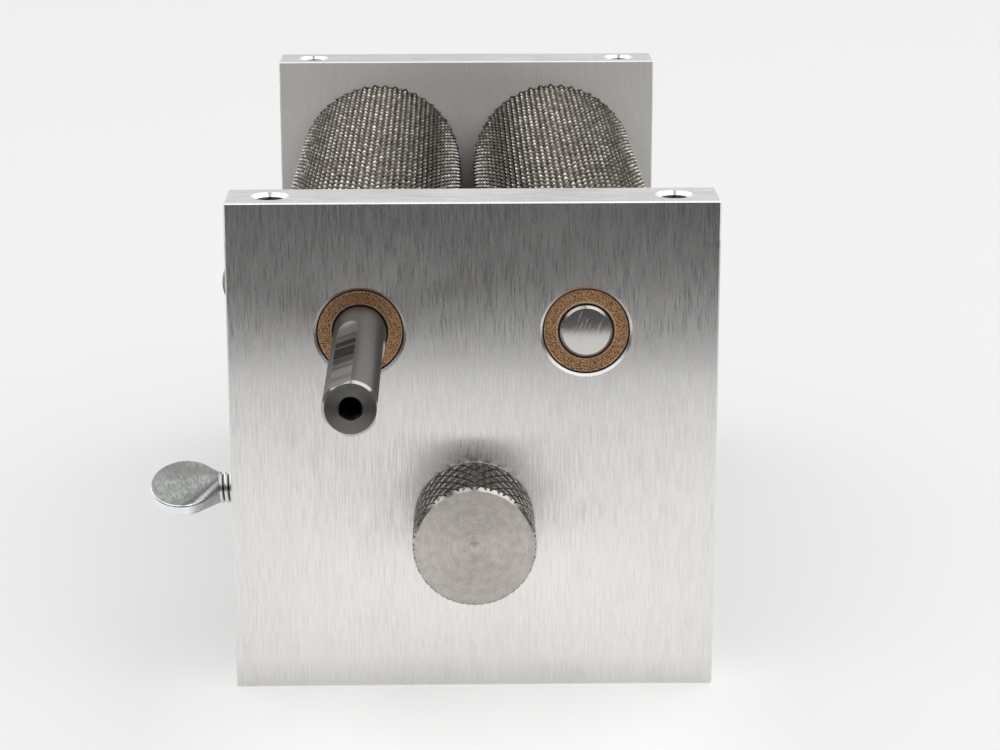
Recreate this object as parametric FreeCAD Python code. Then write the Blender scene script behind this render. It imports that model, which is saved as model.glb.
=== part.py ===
import FreeCAD, Part
import math
import os

from FreeCAD import Vector

# Hand cranked grain mill with three knurled rollers between two plates.
# X runs to the right seen from the front, Y from the front plate to the rear one, Z up.
# The origin is on the plates' bottom plane, at the centre of the four base holes.
# All sizes are in millimetres.

# Frame plates
PLATE_WIDTH = 88.9
PLATE_HEIGHT = 92.075
PLATE_THICKNESS = 12.7
PLATE_GAP = 152.4
PLATE_EDGE_CHAMFER = 0.25

# Tapped holes in the top and bottom edges of both plates, at their thread's inner diameter
EDGE_HOLE_DIAMETER = 5.1
TOP_HOLE_INSET = 7.94
TOP_HOLE_DEPTH = 16.0
TOP_HOLE_COUNTERSINK = 0.95
BASE_HOLE_INSET = 12.7
BASE_HOLE_END_WALL = 2.84
BASE_HOLE_COUNTERSINK = 0.25

# The three rollers of one size, and the two upper ones' places
ROLLER_DIAMETER = 38.1
ROLLER_END_CHAMFER = 0.6
ROLLER_END_PLAY = 0.4
FEED_GAP = 2.77
TOP_AXIS_DROP = 23.9

# Main grooves of the rollers' knurl, straight along the roller
KNURL_GROOVE_COUNT = 24
KNURL_GROOVE_DEPTH = 0.95
KNURL_GROOVE_HALF_ANGLE = 45.0

# Shafts, pressed into the rollers
SHAFT_DIAMETER = 9.525
SHAFT_END_CHAMFER = 0.45

# Free end of the drive shaft, with three milled flats and a drilled end
DRIVE_REACH = 49.5
FLAT_COUNT = 3
FLAT_DEPTH = 0.43
FLAT_START = 12.1
FLAT_CUTTER_RADIUS = 11.0
FIRST_FLAT_ANGLE = 113.0
END_HOLE_DIAMETER = 3.9
END_HOLE_DEPTH = 12.0
END_HOLE_COUNTERSINK = 0.1

# Flanged bronze bushings of the top shafts
BUSHING_DIAMETER = 15.875
BUSHING_RECESS = 0.6
BUSHING_FLANGE_DIAMETER = 22.225
BUSHING_FLANGE_THICKNESS = 1.6
BUSHING_CHAMFER = 0.3
BUSHING_BORE_CHAMFER = 0.2
PLATE_BORE_CHAMFER = 0.45

# The lower roller and its eccentric adjusters
FINE_GAP = 1.13
ECCENTRICITY = 2.0
ADJUSTER_BODY_DIAMETER = 19.05
ADJUSTER_BUSHING_DIAMETER = 12.7
ADJUSTER_BUSHING_LENGTH = 11.5
LOWER_SHAFT_END_GAP = 0.8
KNOB_DIAMETER = 22.2
KNOB_LENGTH = 16.0
KNOB_CHAMFER = 0.55
KNOB_THRUST_GAP = 0.05

# Thumb screws that clamp the adjusters
THUMB_SCREW_DIAMETER = 6.0
THUMB_SCREW_RISE = 4.4
THUMB_SCREW_TIP_GAP = 0.15
THUMB_NECK_LENGTH = 2.4
THUMB_NECK_TAPER = 4.5
WING_LENGTH = 13.1
WING_OVAL_LENGTH = 12.7
WING_WIDTH = 15.5
WING_THICKNESS = 2.1
FRONT_WING_TILT = 16.0
REAR_WING_TILT = 65.0
WING_EDGE_RADIUS = 0.35

# Tie bars between the plates and their screws
TIE_BAR_DIAMETER = 12.7
TIE_BAR_INSET = 10.45
TIE_BAR_DROP = 13.08
TIE_STUD_DIAMETER = 7.94
TIE_STUD_LENGTH = 8.5
TIE_STUD_END_GAP = 1.0
TIE_SCREW_DIAMETER = 6.35
TIE_SCREW_GRIP = 14.0
TIE_SCREW_END_GAP = 2.0
TIE_SCREW_HEAD_DIAMETER = 9.525
TIE_SCREW_HEAD_HEIGHT = 6.35
TIE_SCREW_SOCKET = 4.76
TIE_SCREW_SOCKET_DEPTH = 3.2
TIE_CHAMFER = 0.4
COUNTERBORE_GAP = 0.4
COUNTERBORE_RECESS = 0.35

# Radial clearances
RUNNING_CLEARANCE = 0.03
SEAT_CLEARANCE = 0.01
THUMB_THREAD_CLEARANCE = 0.08
TIE_SCREW_CLEARANCE = 0.15

# Twist drill point, half of its included angle
DRILL_HALF_ANGLE = 59.0

# Places that follow from the sizes
INNER_FACE = PLATE_GAP / 2
OUTER_FACE = INNER_FACE + PLATE_THICKNESS
MID_PLATE = INNER_FACE + PLATE_THICKNESS / 2
SIDE_FACE = PLATE_WIDTH / 2
ROLLER_RADIUS = ROLLER_DIAMETER / 2
SHAFT_RADIUS = SHAFT_DIAMETER / 2
THRUST_FACE = INNER_FACE - BUSHING_FLANGE_THICKNESS
ROLLER_END = THRUST_FACE - ROLLER_END_PLAY
BUSHING_FACE = OUTER_FACE - BUSHING_RECESS
TOP_AXIS_X = (ROLLER_DIAMETER + FEED_GAP) / 2
TOP_AXIS_Z = PLATE_HEIGHT - TOP_AXIS_DROP
LOWER_AXIS_DROP = math.sqrt((ROLLER_DIAMETER + FINE_GAP) ** 2 - TOP_AXIS_X ** 2)
LOWER_AXIS_Z = TOP_AXIS_Z - LOWER_AXIS_DROP
ADJUSTER_AXIS_Z = LOWER_AXIS_Z - ECCENTRICITY
ADJUSTER_RADIUS = ADJUSTER_BODY_DIAMETER / 2
THUMB_SCREW_Z = ADJUSTER_AXIS_Z + THUMB_SCREW_RISE
THUMB_SCREW_TIP_X = -(ADJUSTER_RADIUS + THUMB_SCREW_TIP_GAP)
TIE_BAR_X = SIDE_FACE - TIE_BAR_INSET
TIE_BAR_Z = THUMB_SCREW_Z - TIE_BAR_DROP
COUNTERBORE_RADIUS = TIE_SCREW_HEAD_DIAMETER / 2 + COUNTERBORE_GAP
TOP_HOLE_X = SIDE_FACE - TOP_HOLE_INSET
BASE_HOLE_X = SIDE_FACE - BASE_HOLE_INSET
BASE_HOLE_DEPTH = TIE_BAR_Z - COUNTERBORE_RADIUS - BASE_HOLE_END_WALL
DRIVE_TIP = -(OUTER_FACE + DRIVE_REACH)

FRONT = -1
REAR = 1
ALONG_X = Vector(1, 0, 0)
ALONG_Y = Vector(0, 1, 0)
ALONG_Z = Vector(0, 0, 1)

# How far a cutter runs past a face, and joined shapes run into each other
MARGIN = 1.0


def rod(radius, start, end, x, z):
    """A cylinder along Y between two places, given in any order."""
    low = min(start, end)
    return Part.makeCylinder(radius, abs(end - start), Vector(x, low, z), ALONG_Y)


def taper(start_radius, end_radius, start, end, x, z):
    """A cone along Y from a start to an end, each with its own radius."""
    direction = Vector(0, math.copysign(1, end - start), 0)
    return Part.makeCone(start_radius, end_radius, abs(end - start), Vector(x, start, z), direction)


def chamfered_rod(radius, start, end, x, z, chamfer):
    """A rod with the same chamfer at both ends."""
    solid = rod(radius, start, end, x, z)
    rims = [edge for edge in solid.Edges if edge.isClosed()]
    return solid.makeChamfer(chamfer, rims)


def mouth(radius, chamfer, face, into, x, z):
    """The cutter of a chamfer at a hole's mouth; into is +1 or -1 along Y."""
    reach = chamfer + MARGIN
    outside = face - into * MARGIN
    return taper(radius + reach, radius, outside, face + into * chamfer, x, z)


def drill(radius, depth, direction, position):
    """The cutter of a blind drilled hole with its pointed bottom; position is at its mouth."""
    start = position - direction * MARGIN
    straight = Part.makeCylinder(radius, depth + MARGIN, start, direction)
    point_length = radius / math.tan(math.radians(DRILL_HALF_ANGLE))
    point = Part.makeCone(radius, 0, point_length, position + direction * depth, direction)
    return straight.fuse(point)


def edge_hole(position, direction, depth, countersink):
    """The cutter of one tapped hole in a plate's top or bottom edge, with its countersink."""
    radius = EDGE_HOLE_DIAMETER / 2
    hole = drill(radius, depth, direction, position)
    reach = countersink + MARGIN
    sink = Part.makeCone(radius + reach, radius, reach, position - direction * MARGIN, direction)
    return hole.fuse(sink)


def edge_holes(side):
    """The cutters of the two top and two bottom holes of one plate."""
    y = side * MID_PLATE
    cutters = []
    for x in (-TOP_HOLE_X, TOP_HOLE_X):
        cutters.append(edge_hole(Vector(x, y, PLATE_HEIGHT), -ALONG_Z, TOP_HOLE_DEPTH,
                                 TOP_HOLE_COUNTERSINK))
    for x in (-BASE_HOLE_X, BASE_HOLE_X):
        cutters.append(edge_hole(Vector(x, y, 0), ALONG_Z, BASE_HOLE_DEPTH,
                                 BASE_HOLE_COUNTERSINK))
    return cutters


def bushing_bores(side):
    """The cutters of the two bores that hold the top bushings."""
    radius = BUSHING_DIAMETER / 2 + SEAT_CLEARANCE
    cutters = []
    for x in (-TOP_AXIS_X, TOP_AXIS_X):
        inner = side * (INNER_FACE - MARGIN)
        outer = side * (OUTER_FACE + MARGIN)
        cutters.append(rod(radius, inner, outer, x, TOP_AXIS_Z))
        cutters.append(mouth(radius, PLATE_BORE_CHAMFER, side * OUTER_FACE, -side, x, TOP_AXIS_Z))
    return cutters


def adjuster_bore(side):
    """The cutter of the bore in which the eccentric adjuster turns."""
    radius = ADJUSTER_RADIUS + RUNNING_CLEARANCE
    inner = side * (INNER_FACE - MARGIN)
    outer = side * (OUTER_FACE + MARGIN)
    return rod(radius, inner, outer, 0, ADJUSTER_AXIS_Z)


def thumb_screw_hole(side):
    """The cutter of the tapped hole from the plate's left edge to the adjuster's bore."""
    radius = THUMB_SCREW_DIAMETER / 2 + THUMB_THREAD_CLEARANCE
    start = Vector(-SIDE_FACE - MARGIN, side * MID_PLATE, THUMB_SCREW_Z)
    return Part.makeCylinder(radius, SIDE_FACE + MARGIN, start, ALONG_X)


def tie_stud_holes():
    """The cutters of the blind holes in the front plate that take the tie bars' studs."""
    radius = TIE_STUD_DIAMETER / 2 + SEAT_CLEARANCE
    face = -INNER_FACE
    depth = TIE_STUD_LENGTH + TIE_STUD_END_GAP
    return [
        rod(radius, face + MARGIN, face - depth, x, TIE_BAR_Z)
        for x in (-TIE_BAR_X, TIE_BAR_X)
    ]


def tie_screw_holes():
    """The cutters of the counterbored screw holes in the rear plate."""
    hole_radius = TIE_SCREW_DIAMETER / 2 + TIE_SCREW_CLEARANCE
    seat = OUTER_FACE - TIE_SCREW_HEAD_HEIGHT - COUNTERBORE_RECESS
    cutters = []
    for x in (-TIE_BAR_X, TIE_BAR_X):
        cutters.append(rod(hole_radius, INNER_FACE - MARGIN, OUTER_FACE, x, TIE_BAR_Z))
        cutters.append(rod(COUNTERBORE_RADIUS, seat, OUTER_FACE + MARGIN, x, TIE_BAR_Z))
    return cutters


def plate(side):
    """A frame plate with every bore and tapped hole."""
    low = min(side * INNER_FACE, side * OUTER_FACE)
    corner = Vector(-SIDE_FACE, low, 0)
    block = Part.makeBox(PLATE_WIDTH, PLATE_THICKNESS, PLATE_HEIGHT, corner)
    block = block.makeChamfer(PLATE_EDGE_CHAMFER, block.Edges)
    cutters = edge_holes(side) + bushing_bores(side)
    cutters += [adjuster_bore(side), thumb_screw_hole(side)]
    cutters += tie_stud_holes() if side == FRONT else tie_screw_holes()
    return block.cut(cutters)


def tie_bar(x):
    """A round tie bar: a stud for the front plate, a tapped hole for the rear screw."""
    bar = chamfered_rod(TIE_BAR_DIAMETER / 2, -INNER_FACE, INNER_FACE, x, TIE_BAR_Z,
                        TIE_CHAMFER)
    stud_end = -INNER_FACE - TIE_STUD_LENGTH
    stud = chamfered_rod(TIE_STUD_DIAMETER / 2, -INNER_FACE + MARGIN, stud_end, x,
                         TIE_BAR_Z, TIE_CHAMFER)
    hole_radius = TIE_SCREW_DIAMETER / 2 + SEAT_CLEARANCE
    mouth_place = Vector(x, INNER_FACE, TIE_BAR_Z)
    hole = drill(hole_radius, TIE_SCREW_GRIP + TIE_SCREW_END_GAP, -ALONG_Y, mouth_place)
    return bar.fuse(stud).cut(hole)


def hexagon(across_flats, start, end, x, z):
    """A six-sided prism along Y between two places."""
    corner_radius = across_flats / math.sqrt(3)
    corners = []
    for step in range(6):
        angle = math.radians(60 * step)
        corners.append(Vector(x + corner_radius * math.cos(angle), start,
                              z + corner_radius * math.sin(angle)))
    face = Part.Face(Part.makePolygon(corners + corners[:1]))
    return face.extrude(ALONG_Y * (end - start))


def tie_screw(x):
    """A socket head screw that holds a tie bar to the rear plate."""
    head_top = OUTER_FACE - COUNTERBORE_RECESS
    seat = head_top - TIE_SCREW_HEAD_HEIGHT
    shank_end = INNER_FACE - TIE_SCREW_GRIP
    head = chamfered_rod(TIE_SCREW_HEAD_DIAMETER / 2, seat, head_top, x, TIE_BAR_Z,
                         TIE_CHAMFER)
    shank = rod(TIE_SCREW_DIAMETER / 2, shank_end, seat + MARGIN, x, TIE_BAR_Z)
    socket = hexagon(TIE_SCREW_SOCKET, head_top - TIE_SCREW_SOCKET_DEPTH,
                     head_top + MARGIN, x, TIE_BAR_Z)
    return head.fuse(shank).cut(socket)


def tie_bar_screws():
    """Both tie bar screws as one group."""
    return Part.makeCompound([tie_screw(-TIE_BAR_X), tie_screw(TIE_BAR_X)])


def bushing(side, x):
    """A flanged bushing, pressed in from the plate's inner face."""
    sleeve = chamfered_rod(BUSHING_DIAMETER / 2, side * INNER_FACE, side * BUSHING_FACE, x,
                           TOP_AXIS_Z, BUSHING_CHAMFER)
    flange_face = side * THRUST_FACE
    flange = rod(BUSHING_FLANGE_DIAMETER / 2, flange_face, side * INNER_FACE, x, TOP_AXIS_Z)
    root = rod(BUSHING_DIAMETER / 2, side * INNER_FACE, side * MID_PLATE, x, TOP_AXIS_Z)
    radius = SHAFT_RADIUS + RUNNING_CLEARANCE
    bore = rod(radius, flange_face - side * MARGIN, side * OUTER_FACE, x, TOP_AXIS_Z)
    lip = mouth(radius, BUSHING_BORE_CHAMFER, side * BUSHING_FACE, -side, x, TOP_AXIS_Z)
    return sleeve.fuse([flange, root]).cut([bore, lip])


def knurl_groove(x, z, angle):
    """The cutter of one V groove along a roller; angle is counted from X towards Z."""
    bottom = ROLLER_RADIUS - KNURL_GROOVE_DEPTH
    mouth_radius = ROLLER_RADIUS + MARGIN
    half_width = (mouth_radius - bottom) * math.tan(math.radians(KNURL_GROOVE_HALF_ANGLE))
    start = -INNER_FACE
    corners = [
        Vector(x + bottom, start, z),
        Vector(x + mouth_radius, start, z - half_width),
        Vector(x + mouth_radius, start, z + half_width),
    ]
    face = Part.Face(Part.makePolygon(corners + corners[:1]))
    groove = face.extrude(ALONG_Y * PLATE_GAP)
    groove.rotate(Vector(x, 0, z), ALONG_Y, -angle)
    return groove


def roller(x, z):
    """A roller with a through bore for its shaft; its diameter is over the knurl's points."""
    body = chamfered_rod(ROLLER_RADIUS, -ROLLER_END, ROLLER_END, x, z, ROLLER_END_CHAMFER)
    bore = rod(SHAFT_RADIUS + SEAT_CLEARANCE, -INNER_FACE, INNER_FACE, x, z)
    step = 360 / KNURL_GROOVE_COUNT
    grooves = [knurl_groove(x, z, step * (number + 0.5)) for number in range(KNURL_GROOVE_COUNT)]
    return body.cut([bore] + grooves)


def shaft(start, end, x, z):
    """A plain shaft with chamfered ends."""
    return chamfered_rod(SHAFT_RADIUS, start, end, x, z, SHAFT_END_CHAMFER)


def flat_cutter(angle):
    """The cutter of one flat, with the round run-out that its milling cutter leaves."""
    flat_height = SHAFT_RADIUS - FLAT_DEPTH
    start = -(OUTER_FACE + FLAT_START)
    width = SHAFT_DIAMETER
    corner = Vector(-TOP_AXIS_X - width / 2, DRIVE_TIP - MARGIN, TOP_AXIS_Z + flat_height)
    slab = Part.makeBox(width, start - DRIVE_TIP + MARGIN, FLAT_CUTTER_RADIUS, corner)
    wheel_centre = Vector(-TOP_AXIS_X - width / 2, start, TOP_AXIS_Z + flat_height + FLAT_CUTTER_RADIUS)
    wheel = Part.makeCylinder(FLAT_CUTTER_RADIUS, width, wheel_centre, ALONG_X)
    cutter = slab.fuse(wheel)
    cutter.rotate(Vector(-TOP_AXIS_X, 0, TOP_AXIS_Z), ALONG_Y, 90 - angle)
    return cutter


def drive_shaft():
    """The drive shaft, whose free end stands out of the front plate."""
    solid = shaft(DRIVE_TIP, OUTER_FACE, -TOP_AXIS_X, TOP_AXIS_Z)
    step = 360 / FLAT_COUNT
    cutters = [flat_cutter(FIRST_FLAT_ANGLE + step * number) for number in range(FLAT_COUNT)]
    radius = END_HOLE_DIAMETER / 2
    tip = Vector(-TOP_AXIS_X, DRIVE_TIP, TOP_AXIS_Z)
    cutters.append(drill(radius, END_HOLE_DEPTH, ALONG_Y, tip))
    cutters.append(mouth(radius, END_HOLE_COUNTERSINK, DRIVE_TIP, 1, -TOP_AXIS_X, TOP_AXIS_Z))
    return solid.cut(cutters)


def idler_shaft():
    """The idler shaft, which ends level with the plates' outer faces."""
    return shaft(-OUTER_FACE, OUTER_FACE, TOP_AXIS_X, TOP_AXIS_Z)


def lower_roller_shaft():
    """The lower roller's shaft, which ends inside the adjusters."""
    end = THRUST_FACE + ADJUSTER_BUSHING_LENGTH - LOWER_SHAFT_END_GAP
    return shaft(-end, end, 0, LOWER_AXIS_Z)


def adjuster(side):
    """An adjuster: a knob and a body with a blind bore off its axis."""
    knob_base = side * (OUTER_FACE + KNOB_THRUST_GAP)
    knob_face = knob_base + side * KNOB_LENGTH
    inner_end = side * THRUST_FACE
    knob = chamfered_rod(KNOB_DIAMETER / 2, knob_base, knob_face, 0, ADJUSTER_AXIS_Z, KNOB_CHAMFER)
    body = rod(ADJUSTER_RADIUS, inner_end, knob_base + side * MARGIN, 0, ADJUSTER_AXIS_Z)
    bore_end = inner_end + side * ADJUSTER_BUSHING_LENGTH
    bore = rod(ADJUSTER_BUSHING_DIAMETER / 2 + SEAT_CLEARANCE, inner_end - side * MARGIN,
               bore_end, 0, LOWER_AXIS_Z)
    return knob.fuse(body).cut(bore)


def adjuster_bushing(side):
    """The plain bushing in an adjuster's off-centre bore."""
    inner_end = side * THRUST_FACE
    outer_end = inner_end + side * ADJUSTER_BUSHING_LENGTH
    sleeve = rod(ADJUSTER_BUSHING_DIAMETER / 2, inner_end, outer_end, 0, LOWER_AXIS_Z)
    bore = rod(SHAFT_RADIUS + RUNNING_CLEARANCE, inner_end - side * MARGIN,
               outer_end + side * MARGIN, 0, LOWER_AXIS_Z)
    return sleeve.cut(bore)


def wing_tangent():
    """Where the lines from the neck touch the wing's oval, from the oval's centre."""
    half_length = WING_OVAL_LENGTH / 2
    half_width = WING_WIDTH / 2
    along = (WING_LENGTH - half_length) / half_length
    across = THUMB_SCREW_DIAMETER / 2 / half_width
    reach = math.hypot(along, across)
    angle = math.atan2(across, along) + math.acos(1 / reach)
    return half_length * math.cos(angle), half_width * math.sin(angle)


def wing_outline(side):
    """The flat face of a thumb screw's wing, an oval with a web towards the neck."""
    neck = -SIDE_FACE - THUMB_NECK_LENGTH
    centre_x = neck - WING_LENGTH + WING_OVAL_LENGTH / 2
    y = side * MID_PLATE
    neck_half = THUMB_SCREW_DIAMETER / 2
    tangent_x, tangent_y = wing_tangent()
    near_neck = Vector(neck, y - neck_half, 0)
    far_neck = Vector(neck, y + neck_half, 0)
    oval = Part.Ellipse(Vector(centre_x, y + WING_WIDTH / 2, 0),
                        Vector(centre_x - WING_OVAL_LENGTH / 2, y, 0), Vector(centre_x, y, 0))
    far_touch = Vector(centre_x + tangent_x, y + tangent_y, 0)
    near_touch = Vector(centre_x + tangent_x, y - tangent_y, 0)
    start = oval.parameter(far_touch) - 2 * math.pi
    end = oval.parameter(near_touch)
    edges = [
        Part.makeLine(near_neck, far_neck),
        Part.makeLine(far_neck, far_touch),
        Part.ArcOfEllipse(oval, start, end).toShape(),
        Part.makeLine(near_touch, near_neck),
    ]
    return Part.Face(Part.Wire(Part.__sortEdges__(edges)))


def thumb_wing(side):
    """A thumb screw's wing with rounded rims, tilted about the screw's axis."""
    outline = wing_outline(side)
    outline.translate(Vector(0, 0, THUMB_SCREW_Z - WING_THICKNESS / 2))
    wing = outline.extrude(ALONG_Z * WING_THICKNESS)
    neck = -SIDE_FACE - THUMB_NECK_LENGTH
    rims = [edge for edge in wing.Edges
            if edge.BoundBox.ZLength < WING_THICKNESS / 2 and edge.BoundBox.XMin < neck - MARGIN]
    wing = wing.makeFillet(WING_EDGE_RADIUS, rims)
    tilt = FRONT_WING_TILT if side == FRONT else REAR_WING_TILT
    wing.rotate(Vector(0, side * MID_PLATE, THUMB_SCREW_Z), ALONG_X, tilt)
    return wing


def thumb_screw(side):
    """A thumb screw: a shank with a plain tip, a tapered neck and a flat wing."""
    axis_start = Vector(THUMB_SCREW_TIP_X, side * MID_PLATE, THUMB_SCREW_Z)
    shank_length = SIDE_FACE + THUMB_NECK_LENGTH + THUMB_SCREW_TIP_X
    radius = THUMB_SCREW_DIAMETER / 2
    shank = Part.makeCylinder(radius, shank_length, axis_start, -ALONG_X)
    neck_start = Vector(-SIDE_FACE - THUMB_NECK_LENGTH, side * MID_PLATE, THUMB_SCREW_Z)
    neck = Part.makeCone(radius, WING_THICKNESS / 2, THUMB_NECK_TAPER, neck_start, -ALONG_X)
    return shank.fuse([neck, thumb_wing(side)])


def build():
    """Every sub-part under its node's name."""
    return {
        "front_plate": plate(FRONT),
        "rear_plate": plate(REAR),
        "left_tie_bar": tie_bar(-TIE_BAR_X),
        "right_tie_bar": tie_bar(TIE_BAR_X),
        "tie_bar_screws": tie_bar_screws(),
        "front_drive_bushing": bushing(FRONT, -TOP_AXIS_X),
        "rear_drive_bushing": bushing(REAR, -TOP_AXIS_X),
        "front_idler_bushing": bushing(FRONT, TOP_AXIS_X),
        "rear_idler_bushing": bushing(REAR, TOP_AXIS_X),
        "drive_roller": roller(-TOP_AXIS_X, TOP_AXIS_Z),
        "drive_shaft": drive_shaft(),
        "idler_roller": roller(TOP_AXIS_X, TOP_AXIS_Z),
        "idler_shaft": idler_shaft(),
        "lower_roller": roller(0, LOWER_AXIS_Z),
        "lower_roller_shaft": lower_roller_shaft(),
        "front_adjuster": adjuster(FRONT),
        "rear_adjuster": adjuster(REAR),
        "front_adjuster_bushing": adjuster_bushing(FRONT),
        "rear_adjuster_bushing": adjuster_bushing(REAR),
        "front_thumb_screw": thumb_screw(FRONT),
        "rear_thumb_screw": thumb_screw(REAR),
    }


def export(parts):
    """Write each sub-part to its own STEP file."""
    os.makedirs("parts", exist_ok=True)
    for node, shape in parts.items():
        if not shape.isValid():
            raise ValueError(node + " isn't a valid shape")
        shape.exportStep("parts/" + node + ".step")


export(build())
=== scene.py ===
"""Looks of the hand grain mill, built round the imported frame. Lengths are in metres."""
import logging
import math
from dataclasses import dataclass, field
from enum import Enum
from typing import Callable, Sequence

import bmesh
import bpy
from mathutils import Matrix, Vector


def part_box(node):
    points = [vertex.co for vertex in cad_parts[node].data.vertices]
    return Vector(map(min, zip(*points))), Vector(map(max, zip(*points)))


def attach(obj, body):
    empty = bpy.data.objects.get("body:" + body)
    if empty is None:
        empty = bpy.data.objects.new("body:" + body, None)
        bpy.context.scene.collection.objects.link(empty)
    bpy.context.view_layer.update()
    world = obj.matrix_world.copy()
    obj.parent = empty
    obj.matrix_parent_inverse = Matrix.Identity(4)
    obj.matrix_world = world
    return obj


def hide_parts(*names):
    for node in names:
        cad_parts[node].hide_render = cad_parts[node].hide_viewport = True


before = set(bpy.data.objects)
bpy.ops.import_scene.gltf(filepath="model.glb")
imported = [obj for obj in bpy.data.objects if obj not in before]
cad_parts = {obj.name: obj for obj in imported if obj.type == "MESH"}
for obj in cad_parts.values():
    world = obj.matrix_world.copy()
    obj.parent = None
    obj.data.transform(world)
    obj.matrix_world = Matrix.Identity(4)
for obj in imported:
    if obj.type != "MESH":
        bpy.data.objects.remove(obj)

LOG = logging.getLogger("mill")
MM = 0.001
TINY = 0.01 * MM
IMAGE_WIDTH = 1000

Node = bpy.types.Node
Socket = bpy.types.NodeSocket
Piece = bpy.types.Object
Colour = tuple[float, float, float]
# Where a soft step starts and ends, in millimetres or on the scale of what it steps.
Span = tuple[float, float]

# Parts of a noise's range.
NEARLY_ALL: Span = (0.3, 0.7)
MIDDLE: Span = (0.35, 0.65)
CORE: Span = (0.4, 0.6)

# How squarely a surface looks along an axis before it counts as facing it.
SQUARE_ON = 0.8


class Into(Enum):
    """The direction in which a tapped hole runs from its mouth."""

    DOWN = (0.0, 0.0, -1.0)
    UP = (0.0, 0.0, 1.0)
    BACK = (0.0, 1.0, 0.0)


class Profile(Enum):
    """A thread's outline over one turn, in shares of its pitch and of its depth."""

    SHARP = ((0.0, 0.0), (0.12, 0.0), (0.44, 1.0), (0.56, 1.0), (0.88, 0.0), (1.0, 0.0))
    ROUNDED = ((0.0, 0.0), (0.08, 0.12), (0.22, 0.7), (0.36, 0.95), (0.5, 1.0),
               (0.64, 0.95), (0.78, 0.7), (0.92, 0.12), (1.0, 0.0))


# Work on the bench


def lay_down() -> None:
    """Leave edit mode and deselect everything."""
    if bpy.context.object and bpy.context.object.mode != "OBJECT":
        bpy.ops.object.mode_set(mode="OBJECT")
    bpy.ops.object.select_all(action="DESELECT")


def pick_up(piece: Piece) -> None:
    """Select one piece alone and make it the active one.

    Args:
        piece: the piece to work on.
    """
    lay_down()
    piece.select_set(True)
    bpy.context.view_layer.objects.active = piece


def open_up(piece: Piece, elements: str) -> None:
    """Enter edit mode with nothing selected.

    Args:
        piece: the piece to edit.
        elements: VERT, EDGE or FACE.
    """
    pick_up(piece)
    bpy.ops.object.mode_set(mode="EDIT")
    bpy.ops.mesh.select_mode(type=elements)
    bpy.ops.mesh.select_all(action="DESELECT")


def choose(kind: str, test: Callable[[bmesh.types.BMEdge | bmesh.types.BMFace], bool]) -> None:
    """Select the parts of the piece in edit mode that pass a test, and no others.

    Args:
        kind: edges or faces.
        test: whether one of them is wanted.
    """
    data = bpy.context.edit_object.data
    mesh = bmesh.from_edit_mesh(data)
    bpy.ops.mesh.select_all(action="DESELECT")
    for part in getattr(mesh, kind):
        if test(part):
            part.select_set(True)
    bmesh.update_edit_mesh(data)


def join(piece: Piece, other: Piece) -> None:
    """Put a second piece's mesh beside the first one's, in one piece.

    Args:
        piece: the piece that stays.
        other: the piece that is used up.
    """
    pick_up(piece)
    other.select_set(True)
    bpy.ops.object.join()


def apply_modifier(piece: Piece, kind: str, **settings: object) -> None:
    """Add a modifier with its settings and apply it.

    Args:
        piece: the piece to change.
        kind: the modifier's type.
        settings: its settings by name.
    """
    modifier = piece.modifiers.new(kind.lower(), kind)
    for name, value in settings.items():
        setattr(modifier, name, value)
    pick_up(piece)
    bpy.ops.object.modifier_apply(modifier=modifier.name)


def carve(piece: Piece, tool: Piece, operation: str = "DIFFERENCE") -> None:
    """Cut, join or trim a piece with a second one, which is used up."""
    apply_modifier(piece, "BOOLEAN", operation=operation, object=tool, solver="EXACT")
    bpy.data.objects.remove(tool)


def settle(piece: Piece) -> None:
    """Put a piece's place into its mesh, so that its object sits at the origin."""
    pick_up(piece)
    bpy.ops.object.transform_apply(location=True, rotation=True, scale=True)


def face_outwards(piece: Piece) -> None:
    """Merge doubled points and turn every face outwards.

    Args:
        piece: the piece to mend.
    """
    open_up(piece, "VERT")
    bpy.ops.mesh.select_all(action="SELECT")
    bpy.ops.mesh.remove_doubles(threshold=TINY / 20)
    bpy.ops.mesh.normals_make_consistent(inside=False)
    lay_down()


def smooth(piece: Piece, degrees: float) -> None:
    """Shade smooth, with edges sharper than the angle left crisp."""
    pick_up(piece)
    bpy.ops.object.shade_smooth_by_angle(angle=math.radians(degrees))


def duplicate(piece: Piece, name: str, move: Matrix) -> Piece:
    """Copy a piece with a mesh of its own, moved in its mesh.

    Args:
        piece: the piece to copy.
        name: the copy's name.
        move: how the copy's points move.

    Returns:
        The copy.
    """
    twin = piece.copy()
    twin.data = piece.data.copy()
    twin.data.transform(move)
    twin.name = name
    bpy.context.scene.collection.objects.link(twin)
    return twin


def turn_about(axis: Vector, direction: Vector, degrees: float) -> Matrix:
    """The turn of a mesh about a line through a point."""
    spin = Matrix.Rotation(math.radians(degrees), 4, direction)
    return Matrix.Translation(axis) @ spin @ Matrix.Translation(-axis)


def add_rod(name: str, radius: float, start: Vector, end: Vector, sides: int = 96,
            chamfer: float = 0.0) -> Piece:
    """A round bar between two points on a line along X or Y.

    Args:
        name: the piece's name.
        radius: the bar's radius.
        start: the centre of one end.
        end: the centre of the other end.
        sides: how many faces go round it.
        chamfer: the chamfer at both ends, or none.

    Returns:
        The bar.
    """
    run = end - start
    lay_down()
    bpy.ops.mesh.primitive_cylinder_add(vertices=sides, radius=radius, depth=run.length,
                                        location=(start + end) / 2,
                                        rotation=run.to_track_quat("Z", "Y").to_euler())
    bar = bpy.context.object
    bar.name = name
    settle(bar)
    if chamfer:
        direction = run.normalized()
        open_up(bar, "EDGE")
        choose("edges", lambda edge: len(edge.link_faces) == 2 and edge.calc_length() < radius
               and abs((edge.verts[1].co - edge.verts[0].co).dot(direction)) < TINY)
        bpy.ops.mesh.bevel(offset=chamfer, segments=1, affect="EDGES")
        lay_down()
    return bar


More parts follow.
